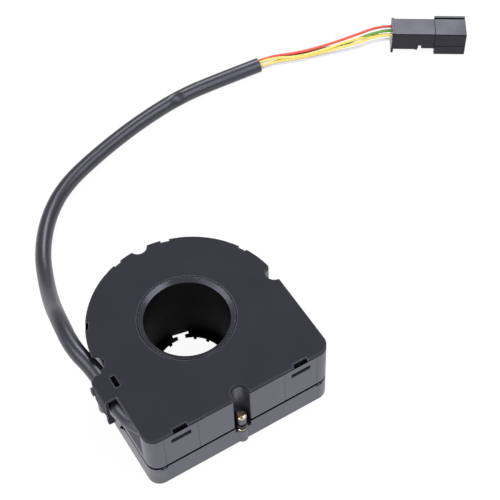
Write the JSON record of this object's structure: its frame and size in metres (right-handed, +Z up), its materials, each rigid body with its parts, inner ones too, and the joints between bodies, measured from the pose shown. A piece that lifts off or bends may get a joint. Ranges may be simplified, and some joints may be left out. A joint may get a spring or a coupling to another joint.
{
  "type": "steering angle sensor",
  "caption": "Steering angle sensor with a flared turning hub, latched lid, side cable clip, black cable and six-way connector.",
  "frame": {"origin": "on the bore axis, in the plane of the rotor's lower rim, which the sensor stands on", "axes": "+Z up along the bore axis, out of the flared mouth; -Y towards the flat front face; -X towards the cable clip"},
  "size_m": [0.2537, 0.1774, 0.0375],
  "materials": {
    "housing_plastic": "fine matte grain",
    "cover_plastic": "fine matte grain",
    "rotor_plastic": "satin",
    "screw_steel": "yellow passivated",
    "insert_metal": "turned",
    "carrier_plastic": "satin",
    "spring_alloy": "rolled",
    "track_substrate": "satin",
    "track_film": "smooth film",
    "pin_metal": "tinned",
    "board_laminate": "solder mask",
    "chip_plastic": "moulded",
    "can_metal": "drawn",
    "resistor_ceramic": "glazed",
    "sheath": "semi gloss",
    "insulation_red": "semi gloss",
    "insulation_green": "semi gloss",
    "insulation_yellow": "semi gloss",
    "insulation_brown": "semi gloss",
    "insulation_white": "semi gloss",
    "lead_insulation": "semi gloss",
    "connector_plastic": "satin",
    "terminal_metal": "tinned"
  },
  "bodies": {
    "housing": {"base_housing": "housing_plastic", "middle_housing": "housing_plastic", "top_cover": "cover_plastic", "case_screws": "screw_steel", "threaded_inserts": "insert_metal", "track_ring": "track_substrate", "resistive_tracks": "track_film", "solder_pins": "pin_metal", "circuit_board": "board_laminate", "microcontroller": "chip_plastic", "bus_transceiver": "chip_plastic", "voltage_regulator": "chip_plastic", "crystal": "can_metal", "capacitors": "can_metal", "chip_resistors": "resistor_ceramic", "inner_leads": "lead_insulation", "cable_sleeve": "sheath", "wire_red": "insulation_red", "wire_green": "insulation_green", "wire_yellow_a": "insulation_yellow", "wire_yellow_b": "insulation_yellow", "wire_brown": "insulation_brown", "wire_white": "insulation_white", "connector_housing": "connector_plastic", "connector_lock": "connector_plastic", "connector_terminals": "terminal_metal"},
    "rotor": {"rotor_hub": "rotor_plastic", "wiper_carrier": "carrier_plastic", "brush_a": "spring_alloy", "brush_b": "spring_alloy"}
  },
  "joints": [
    {"name": "hub_spin", "type": "hinge", "parent": "housing", "child": "rotor", "pos_m": [0, 0, 0], "axis": [0, 0, 1], "continuous": true}
  ]
}
